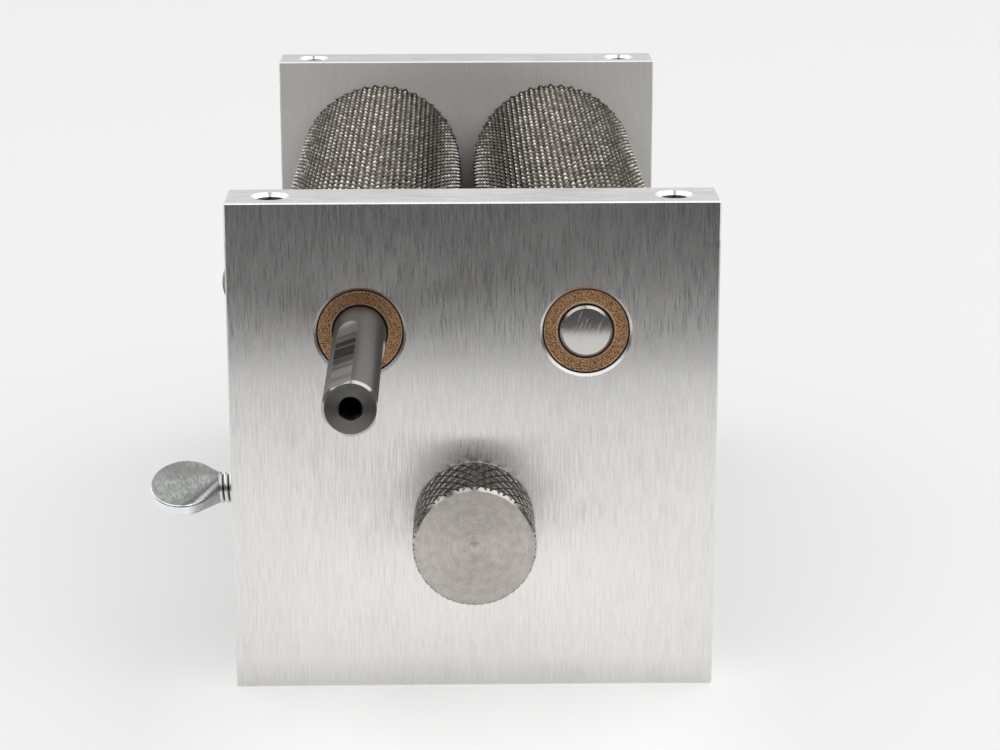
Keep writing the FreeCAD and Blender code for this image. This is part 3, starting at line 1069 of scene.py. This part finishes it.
@dataclass(frozen=True)
class SinteredBronze:
    """Pressed bronze powder, tan, with dark pores full of oil, a painted highlight on its rounded edges and
    painted shade in the gaps round them.
    """

    name: str
    axis: Vector
    outside: float
    bore: float
    colour: Colour = (0.66, 0.39, 0.195)
    shade: Colour = (0.22, 0.105, 0.042)
    pore: Colour = (0.03, 0.014, 0.006)
    # edge: the pale crumbs' colour, also used as a painted highlight on the rounded edges.
    edge: Colour = (0.80, 0.60, 0.47)
    gap_shade: Colour = (0.07, 0.025, 0.014)
    speck: Grain = Grain(4.2, 6.0)
    stain: Grain = Grain(0.5, 3.0)
    tan_span: Span = (0.42, 0.54)
    stain_span: Span = (0.35, 0.75)
    stain_share: float = 0.35
    pore_span: Span = (0.38, 0.44)
    crumb_span: Span = (0.60, 0.66)
    edge_highlight_span: Span = (0.36, 0.5)
    edge_highlight_share: Span = (0.2, 0.75)
    rim: Span = (-0.55, -0.35)
    rim_shade: Span = (-0.24, -0.10)
    lip: Span = (0.85, 0.55)
    mouth: Span = (0.48, 0.34)
    ragged: float = 0.3
    speck_height: float = 0.35
    edge_drop: float = 0.5
    roughness: float = 0.40
    pore_roughness: float = 0.66

    def material(self) -> bpy.types.Material:
        """Grains a quarter of a millimetre wide with pores between them, and rings at the edges: painted
        highlight on the rounded edges and painted shade in the gaps beside them.

        Returns:
            The material of one pair of bushings.
        """
        sheet = NodeSheet(self.name)
        radius = sheet.radius(self.axis)
        speck = sheet.noise(sheet.place, self.speck)
        stain = sheet.noise(sheet.place, self.stain)
        colour = sheet.blend(speck.stretch(*self.tan_span), self.shade, self.colour)
        colour = sheet.blend(stain.stretch(*self.stain_span, 0.0, self.stain_share), colour, self.shade)
        colour = sheet.blend(speck.stretch(*self.pore_span, 1.0, 0.0), colour, self.pore)
        colour = sheet.blend(speck.stretch(*self.crumb_span), colour, self.edge)
        rim = self._ring(radius, self.outside, self.rim)
        lip = self._ring(radius, self.bore, self.lip)
        mouth = self._ring(radius, self.bore, self.mouth)
        rim_shade = self._ring(radius + speck * self.ragged, self.outside, self.rim_shade)
        # Pale rings on the rounded rim and lip: a painted highlight.
        edge_highlight = (rim | lip) * speck.stretch(*self.edge_highlight_span, *self.edge_highlight_share)
        colour = sheet.blend(edge_highlight, colour, self.edge)
        # Dark rings at the bore and at the outer edge: painted shade in the gaps by the shaft and the plate.
        colour = sheet.blend(mouth | rim_shade, colour, self.gap_shade)
        height = speck * self.speck_height - (rim + lip) * self.edge_drop
        relief = sheet.bump(height, depth=0.22 * MM, strength=0.75)
        rough = speck.stretch(*MIDDLE, self.pore_roughness, self.roughness)
        return sheet.dress(Base_Color=colour, Metallic=0.75, Roughness=rough, Normal=relief)

    def _ring(self, radius: Value, edge: float, span: Span) -> Value:
        """A soft ring that grows over a span of millimetres, counted outwards from an edge."""
        return radius.stretch(edge / MM + span[0], edge / MM + span[1])


@dataclass(frozen=True)
class ZincPlate:
    """Bright zinc on a stamped screw, with a mottled brushed flat.

    A thumb screw gives its neck, where its thread starts, and its wing's tilt in degrees.
    """

    name: str
    colour: Colour = (0.40, 0.41, 0.395)
    shade: Colour = (0.24, 0.252, 0.24)
    pit: Colour = (0.16, 0.17, 0.16)
    # rim: painted near white, a painted reflection of the pale floor that the wing's rim faces.
    rim: Colour = (0.88, 0.90, 0.93)
    # root: painted shade in the roots of the thread.
    root: Colour = (0.16, 0.17, 0.165)
    crest: Colour = (0.86, 0.87, 0.85)
    roughness: float = 0.28
    dull_spread: float = 0.10
    bright_spread: float = 0.06
    rim_roughness: float = 0.15
    thread_roughness: float = 0.17
    neck: Vector | None = None
    wing_tilt: float = 0.0
    slant: float = 0.25
    stroke: float = 0.12
    streaks: Grain = Grain(2.4, 4.0, 0.3)
    streaks_share: float = 0.8
    blotch: Grain = Grain(0.35, 4.0)
    pits: Grain = Grain(2.4, 2.0)
    pit_span: Span = (0.26, 0.33)
    pit_share: float = 0.5
    web_span: Span = (-5.5, -4.0)
    web_share: float = 0.3
    rim_span: Span = (0.95, 0.84)
    thread_span: Span = (-0.2, 0.2)
    crest_span: Span = (2.45, 2.85)

    def material(self) -> bpy.types.Material:
        """Short streaks across the wing, blotches and small pits; smoother on the shank.

        Returns:
            The screw's material.
        """
        sheet = NodeSheet(self.name)
        x, y, z = sheet.split(sheet.place)
        streaks = sheet.noise(sheet.join(x + y * self.slant, y * self.stroke, z), self.streaks)
        tone = streaks.with_rest(self.streaks_share, sheet.noise(sheet.place, self.blotch))
        pits = sheet.noise(sheet.place, self.pits).stretch(*self.pit_span, 1.0, 0.0)
        colour = sheet.blend(tone.stretch(*MIDDLE), self.shade, self.colour)
        colour = sheet.blend(pits * self.pit_share, colour, self.pit)
        rough = tone.stretch(*MIDDLE, self.roughness + self.dull_spread, self.roughness - self.bright_spread)
        if self.neck is not None:
            neck = self.neck / MM
            tilt = math.radians(self.wing_tilt)
            flat = sheet.vector("DOT_PRODUCT", sheet.normal, (0.0, -math.sin(tilt), math.cos(tilt)))
            web = x.stretch(neck.x + self.web_span[0], neck.x + self.web_span[1], 1.0, self.web_share)
            # The wing's rim is painted near white: a painted reflection of the pale floor.
            rim = abs(flat).stretch(*self.rim_span) * web
            colour = sheet.blend(rim, colour, self.rim)
            rough = sheet.mix(rim, rough, self.rim_roughness)
            threaded = x.stretch(neck.x + self.thread_span[0], neck.x + self.thread_span[1])
            radius = sheet.vector("LENGTH", sheet.join(0.0, y - neck.y, z - neck.z))
            # The thread is painted dark in its roots as painted shade, and paler on its crests.
            thread = sheet.blend(radius.stretch(*self.crest_span), self.root, self.crest)
            colour = sheet.blend(threaded, colour, thread)
            rough = sheet.mix(threaded, rough, self.thread_roughness)
        relief = sheet.bump(tone, depth=0.02 * MM, strength=0.4)
        return sheet.dress(Base_Color=colour, Metallic=1.0, Roughness=rough, Normal=relief)


# Pieces


def show(name: str, piece: Piece, body: str, nodes: Sequence[str],
         material: bpy.types.Material) -> None:
    """Give a finished piece its material and body, hide the CAD nodes that it replaces, and report it.

    Args:
        name: the piece's name.
        piece: the finished piece.
        body: the body that it rides on.
        nodes: the CAD nodes that it replaces.
        material: its finish.
    """
    piece.name = name
    piece.data.materials.clear()
    piece.data.materials.append(material)
    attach(piece, body)
    if nodes:
        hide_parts(*nodes)
    LOG.info("%s: %d faces on %s", name, len(piece.data.polygons), body)


def paint(node: str, material: bpy.types.Material) -> None:
    """Give a CAD node a better material and report it.

    Args:
        node: the CAD node's name.
        material: its finish.
    """
    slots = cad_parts[node].data.materials
    slots.clear()
    slots.append(material)
    LOG.info("%s: dressed as %s", node, material.name)


def axis_of(node: str) -> Vector:
    """The centre of a node's box."""
    low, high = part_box(node)
    return (low + high) / 2


@dataclass
class Frame:
    """The two plates with their tapped holes, the tie bars and their screws."""

    thread: Thread = field(default_factory=lambda: Thread(2.53 * MM, 1.27 * MM, 0.24 * MM))
    top_hole_x: float = 36.51 * MM
    base_hole_x: float = 31.75 * MM
    top_start: float = 1.25 * MM
    base_start: float = 0.6 * MM
    thread_length: float = 8.0 * MM
    bushing_radius: float = 7.9375 * MM
    adjuster_bushing_radius: float = 6.35 * MM
    shaft_radius: float = 4.7625 * MM

    def build(self) -> None:
        """Dress the plates, bars, screws and bushings, and thread the edge holes."""
        brushed = BrushedAluminium("brushed_plate").material()
        paint("front_plate", brushed)
        paint("rear_plate", brushed)
        self._threads()
        for side in ("left", "right"):
            node = side + "_tie_bar"
            bar = TurnedSteel(node + "_turned", axis_of(node), colour=(0.80, 0.79, 0.78),
                              shade=(0.66, 0.65, 0.64), roughness=0.3)
            paint(node, bar.material())
        screw = ZincPlate("screw_steel", colour=(0.42, 0.42, 0.42), shade=(0.3, 0.3, 0.3))
        paint("tie_bar_screws", screw.material())
        for part, roller, outside in (("drive", "drive", self.bushing_radius),
                                      ("idler", "idler", self.bushing_radius),
                                      ("adjuster", "lower", self.adjuster_bushing_radius)):
            axis = axis_of(roller + "_roller")
            material = SinteredBronze(part + "_bronze", axis, outside, self.shaft_radius).material()
            for end in ("front", "rear"):
                paint(end + "_" + part + "_bushing", material)

    def _threads(self) -> None:
        """The threads in the plates' top and bottom edges, one made and the others copied."""
        origin = Vector((0, 0, 0))
        wall = TurnedSteel("tapped_wall", origin, colour=(0.44, 0.43, 0.42), shade=(0.28, 0.27, 0.26))
        material = wall.material()
        down = self.thread.sleeve("down", origin, Into.DOWN, self.thread_length)
        up = self.thread.sleeve("up", origin, Into.UP, self.thread_length)
        for end in ("front", "rear"):
            low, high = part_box(end + "_plate")
            y = (low.y + high.y) / 2
            rows = (("top", down, self.top_hole_x, high.z - self.top_start),
                    ("base", up, self.base_hole_x, low.z + self.base_start))
            for place, pattern, reach, z in rows:
                for side, x in (("left", -reach), ("right", reach)):
                    name = end + "_" + side + "_" + place + "_thread"
                    thread = duplicate(pattern, name, Matrix.Translation(Vector((x, y, z))))
                    show(name, thread, "frame", [], material)
        for pattern in (down, up):
            bpy.data.objects.remove(pattern)


@dataclass
class Rollers:
    """Three knurled rollers of one pattern, each bored for its shaft."""

    knurl: Knurl = field(default_factory=lambda: Knurl(starts=48, depth=0.98 * MM, top=0.10 * MM))
    chamfer: float = 0.6 * MM
    spare: float = 0.25 * MM
    bore: float = 4.7725 * MM
    bore_past: float = 2.0 * MM
    turns: tuple[float, float, float] = (0.0, 2.1, 4.9)

    def build(self) -> None:
        """Roll one roller and copy it to the other two places."""
        low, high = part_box("drive_roller")
        centre = (low + high) / 2
        radius = (high.x - low.x) / 2
        start = Vector((centre.x, low.y, centre.z))
        end = Vector((centre.x, high.y, centre.z))
        first = self.knurl.roll("roller", radius, start, end)
        blank = add_rod("blank", radius + self.spare, start, end, sides=144,
                        chamfer=self.chamfer + self.spare)
        reach = Vector((0, self.bore_past, 0))
        carve(blank, add_rod("bore", self.bore, start - reach, end + reach, sides=64))
        carve(first, blank, "INTERSECT")
        for name, turn in zip(("drive", "idler", "lower"), self.turns):
            axis = axis_of(name + "_roller")
            move = turn_about(axis, Vector((0, 1, 0)), turn) @ Matrix.Translation(axis - centre)
            roller = duplicate(first, name + "_knurled_roller", move)
            steel = KnurledSteel(name + "_knurled_steel", axis, radius, self.knurl.depth)
            show(roller.name, roller, name + "_rotor", [name + "_roller"], steel.material())
        bpy.data.objects.remove(first)


@dataclass
class Shafts:
    """The three ground shafts; the drive shaft has milled flats and a tapped end."""

    thread: Thread = field(default_factory=lambda: Thread(1.93 * MM, 0.8 * MM, 0.12 * MM))
    thread_start: float = 1.2 * MM
    thread_length: float = 8.0 * MM

    def build(self) -> None:
        """Dress each shaft about its own axis and thread the drive shaft's end."""
        milled = MilledShaft("milled_steel", axis_of("drive_roller")).material()
        paint("drive_shaft", milled)
        low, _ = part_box("drive_shaft")
        axis = axis_of("drive_roller")
        mouth = Vector((axis.x, low.y + self.thread_start, axis.z))
        sleeve = self.thread.sleeve("drive_shaft_end_thread", mouth, Into.BACK, self.thread_length)
        show(sleeve.name, sleeve, "drive_rotor", [], milled)
        for node in ("idler_shaft", "lower_roller_shaft"):
            paint(node, CutShaft(node + "_steel", axis_of(node)).material())


@dataclass
class Adjuster:
    """A knurled knob on a body that holds the lower roller off its centre."""

    end: str
    side: int
    knurl: Knurl = field(default_factory=lambda: Knurl(starts=28, depth=0.36 * MM, top=0.76 * MM))
    chamfer: float = 0.55 * MM
    spare: float = 0.2 * MM
    body_radius: float = 9.525 * MM
    knob_length: float = 16.0 * MM
    bore_radius: float = 6.36 * MM
    bore_depth: float = 11.5 * MM
    overlap: float = 1.0 * MM
    nub: float = 1.2 * MM
    crisp: float = 20.0

    def build(self) -> None:
        """Roll the knob, join its body and bore it off centre."""
        node = self.end + "_adjuster"
        low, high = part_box(node)
        centre = (low + high) / 2
        radius = (high.x - low.x) / 2
        face = Vector((centre.x, high.y if self.side > 0 else low.y, centre.z))
        inner = Vector((centre.x, low.y if self.side > 0 else high.y, centre.z))
        outward = Vector((0, self.side, 0))
        back = face - outward * self.knob_length
        knob = self.knurl.roll(node, radius, *sorted((back, face), key=lambda place: place.y))
        blank = add_rod("blank", radius + self.spare, back, face, sides=112,
                        chamfer=self.chamfer + self.spare)
        carve(knob, blank, "INTERSECT")
        overlap = outward * self.overlap
        carve(knob, add_rod("body", self.body_radius, inner, back + overlap, sides=112), "UNION")
        roller_axis = axis_of("lower_roller")
        mouth = Vector((roller_axis.x, inner.y, roller_axis.z))
        bottom = mouth + outward * self.bore_depth
        carve(knob, add_rod("bore", self.bore_radius, mouth - overlap, bottom, sides=72))
        smooth(knob, self.crisp)
        steel = KnurledSteel(node + "_steel", centre, radius, self.knurl.depth, point=(0.66, 0.64, 0.61),
                             flank=(0.20, 0.19, 0.175), groove_shade=(0.03, 0.026, 0.022), roughness=0.42,
                             nub=self.nub)
        show(node + "_knob", knob, node + "_set", [node], steel.material())


@dataclass
class ThumbScrew:
    """A forged thumb screw: an oval wing that thickens into a threaded shank."""

    end: str
    wing_tilt: float
    thread: Thread = field(default_factory=lambda: Thread(3.0 * MM, 1.0 * MM, 0.58 * MM, Profile.ROUNDED))
    wing_length: float = 12.7 * MM
    wing_width: float = 15.5 * MM
    wing_thickness: float = 2.3 * MM
    rim_radius: float = 0.5 * MM
    neck_radius: float = 2.75 * MM
    neck_reach: float = 13.1 * MM
    rise: float = 4.4 * MM
    thread_sink: float = 0.6 * MM
    collar_length: float = 0.5 * MM
    grain: float = 0.12 * MM
    crisp: float = 40.0

    def build(self) -> None:
        """Forge the wing, join it to the shank and put it in the CAD screw's place."""
        node = self.end + "_thumb_screw"
        low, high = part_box(node)
        axis = Vector((low.x, (low.y + high.y) / 2, axis_of(self.end + "_adjuster").z + self.rise))
        tip = Vector((high.x, axis.y, axis.z))
        neck = axis + Vector((self.neck_reach, 0, 0))
        wing = self._wing(node, axis, neck)
        join(wing, self.thread.rod("shank", neck - Vector((self.thread_sink, 0, 0)), tip))
        smooth(wing, self.crisp)
        zinc = ZincPlate(node + "_zinc", neck=neck, wing_tilt=self.wing_tilt)
        show(node + "_forged", wing, self.end + "_clamp", [node], zinc.material())

    def _wing(self, name: str, tip: Vector, neck: Vector) -> Piece:
        """An oval disc drawn out to a round neck, with soft rims.

        Args:
            name: the piece's name.
            tip: the wing's outer end on the screw's axis.
            neck: where the neck meets the thread.

        Returns:
            The wing.
        """
        lay_down()
        centre = tip + Vector((self.wing_length / 2, 0, 0))
        bpy.ops.mesh.primitive_cylinder_add(vertices=96, radius=self.wing_width / 2,
                                            depth=self.wing_thickness, location=centre)
        wing = bpy.context.object
        wing.name = name
        wing.scale.x = self.wing_length / self.wing_width
        settle(wing)
        open_up(wing, "EDGE")
        choose("edges", lambda edge: abs(edge.verts[1].co.z - edge.verts[0].co.z) < TINY)
        bpy.ops.mesh.bevel(offset=self.rim_radius, segments=4, affect="EDGES")
        lay_down()
        wing.data.transform(turn_about(centre, Vector((1, 0, 0)), self.wing_tilt))
        inner = neck - Vector((self.collar_length, 0, 0))
        join(wing, add_rod("collar", self.neck_radius, inner, neck, sides=64))
        open_up(wing, "VERT")
        bpy.ops.mesh.select_all(action="SELECT")
        bpy.ops.mesh.convex_hull()
        lay_down()
        apply_modifier(wing, "REMESH", mode="VOXEL", voxel_size=self.grain)
        apply_modifier(wing, "SMOOTH", factor=0.5, iterations=4)
        return wing


@dataclass
class Studio:
    """The pale floor, two soft lamps, the dark front of the room and the camera."""

    floor_size: float = 12.0
    floor_colour: Colour = (0.50, 0.50, 0.498)
    floor_wear: float = 0.985
    floor_grain: Grain = Grain(0.02, 2.0)
    glow_colour: Colour = (1.0, 1.0, 0.995)
    floor_glow: float = 0.38
    front_glow: float = 0.05
    # foot_glow: a painted pool of light on the floor in front of the plate's foot.
    foot_glow: float = 0.10
    edge_loss: float = 0.17
    front_fade: Span = (100.0, -100.0)
    foot_aside: Span = (60.0, 30.0)
    foot_front: Span = (-190.0, -140.0)
    foot_back: Span = (-60.0, -88.0)
    edge_fade: Span = (-203.0, -280.0)
    horizon: Span = (-0.10, 0.50)
    overhead: Span = (0.45, 0.75)
    back_light: float = 0.86
    front_light: float = 0.09
    top_light: float = 0.2
    lamp_place: Vector = field(default_factory=lambda: Vector((1.306, -0.10, 2.13)))
    lamp_length: float = 5.4
    lamp_width: float = 2.385
    left_light: float = 1.05
    right_light: float = 1.40
    paper_edge: float = -0.318
    table_width: float = 4.0
    table_depth: float = 2.0
    table_height: float = 1.0 * MM
    camera_place: Vector = field(default_factory=lambda: Vector((-3.89, -557.98, 188.84)) * MM)
    tilt: float = 15.338
    yaw: float = 1.065
    roll: float = -0.062
    focal_pixels: float = 2683.4

    def build(self) -> None:
        """Set the room and the camera."""
        bpy.context.scene.view_settings.view_transform = "Standard"
        self._floor()
        self._room()
        left = Vector((-self.lamp_place.x, self.lamp_place.y, self.lamp_place.z))
        self._lamp("left_softbox", left, self.left_light)
        self._lamp("right_softbox", self.lamp_place, self.right_light)
        self._dark_front()
        self._camera()

    def _floor(self) -> None:
        """A wide pale floor, evened out where the camera and smooth surfaces see it, with a painted pool of
        light before the plate.
        """
        lay_down()
        bpy.ops.mesh.primitive_plane_add(size=self.floor_size, location=(0, 0, 0))
        floor = bpy.context.object
        floor.name = "floor"
        sheet = NodeSheet("pale_paper")
        worn = tuple(self.floor_wear * part for part in self.floor_colour)
        colour = sheet.blend(sheet.noise(sheet.place, self.floor_grain), self.floor_colour, worn)
        seen = sheet.ray("Camera") | sheet.ray("Glossy") | sheet.ray("Transmission")
        x, y, _ = sheet.split(sheet.place)
        front = y.stretch(*self.front_fade) * self.front_glow
        # A painted pool of light in front of the plate's foot, for light that the plate throws onto the
        # floor.
        near = y.stretch(*self.foot_front) * y.stretch(*self.foot_back)
        foot = abs(x).stretch(*self.foot_aside) * near * self.foot_glow
        edge = y.stretch(*self.edge_fade) * self.edge_loss
        glow = seen * (front + foot + self.floor_glow - edge)
        floor.data.materials.append(sheet.dress(Base_Color=colour, Roughness=0.9, Specular_IOR_Level=0.1,
                                                Emission_Color=self.glow_colour, Emission_Strength=glow))

    def _room(self) -> None:
        """A room that is pale behind the object, dim overhead, dark in front and pale to the camera."""
        world = bpy.data.worlds.new("room")
        world.use_nodes = True
        bpy.context.scene.world = world
        room = NodeTree(world.node_tree)
        background = world.node_tree.nodes["Background"]
        room.feed(background.inputs["Color"], (1.0, 1.0, 1.0))
        _, y, z = room.split(Value(room, room.add("ShaderNodeTexCoord").outputs["Generated"]))
        walls = y.stretch(*self.horizon, self.front_light, self.back_light)
        light = room.mix(z.stretch(*self.overhead), walls, self.top_light)
        room.feed(background.inputs["Strength"], room.mix(room.ray("Camera"), light, self.back_light))

    def _lamp(self, name: str, place: Vector, brightness: float) -> None:
        """A long soft lamp that faces the object; its power follows from its face's brightness.

        Args:
            name: the lamp's name.
            place: where its middle stands.
            brightness: how bright its face looks, where 1 is white.
        """
        light = bpy.data.lights.new(name, "AREA")
        light.shape = "RECTANGLE"
        light.size = self.lamp_length
        light.size_y = self.lamp_width
        light.energy = brightness * math.pi * self.lamp_length * self.lamp_width
        lamp = bpy.data.objects.new(name, light)
        lamp.location = place
        lamp.rotation_euler = (-place).to_track_quat("-Z", "Y").to_euler()
        bpy.context.scene.collection.objects.link(lamp)

    def _dark_front(self) -> None:
        """The dark table in front of the paper, seen only in reflections."""
        lay_down()
        middle = (0, self.paper_edge - self.table_depth / 2, self.table_height)
        bpy.ops.mesh.primitive_plane_add(size=1.0, location=middle)
        table = bpy.context.object
        table.name = "dark_table"
        table.scale = (self.table_width, self.table_depth, 1.0)
        settle(table)
        sheet = NodeSheet("dark_table")
        glow = (self.front_light, self.front_light, self.front_light)
        table.data.materials.append(sheet.dress(Base_Color=(0.0, 0.0, 0.0), Roughness=1.0,
                                                Specular_IOR_Level=0.0, Emission_Color=glow,
                                                Emission_Strength=1.0))
        for use in ("camera", "diffuse", "shadow", "transmission"):
            setattr(table, "visible_" + use, False)

    def _camera(self) -> None:
        """The photograph's view point, direction and field of view."""
        lens = bpy.data.cameras.new("camera")
        lens.sensor_width = 36.0
        lens.lens = lens.sensor_width * self.focal_pixels / IMAGE_WIDTH
        lens.clip_start = 0.01
        camera = bpy.data.objects.new("camera", lens)
        bpy.context.scene.collection.objects.link(camera)
        tilt = math.radians(90 - self.tilt)
        turn = Matrix.Rotation(-math.radians(self.yaw), 4, "Z") @ Matrix.Rotation(tilt, 4, "X")
        turn = turn @ Matrix.Rotation(math.radians(self.roll), 4, "Z")
        camera.matrix_world = Matrix.Translation(self.camera_place) @ turn
        bpy.context.scene.camera = camera


def main() -> None:
    """Build the studio and every sub-assembly."""
    logging.basicConfig(level=logging.INFO, format="%(message)s")
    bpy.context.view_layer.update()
    Studio().build()
    Frame().build()
    Rollers().build()
    Shafts().build()
    Adjuster("front", -1).build()
    Adjuster("rear", 1).build()
    ThumbScrew("front", 16.0).build()
    ThumbScrew("rear", 65.0).build()


if __name__ == "__main__":
    main()
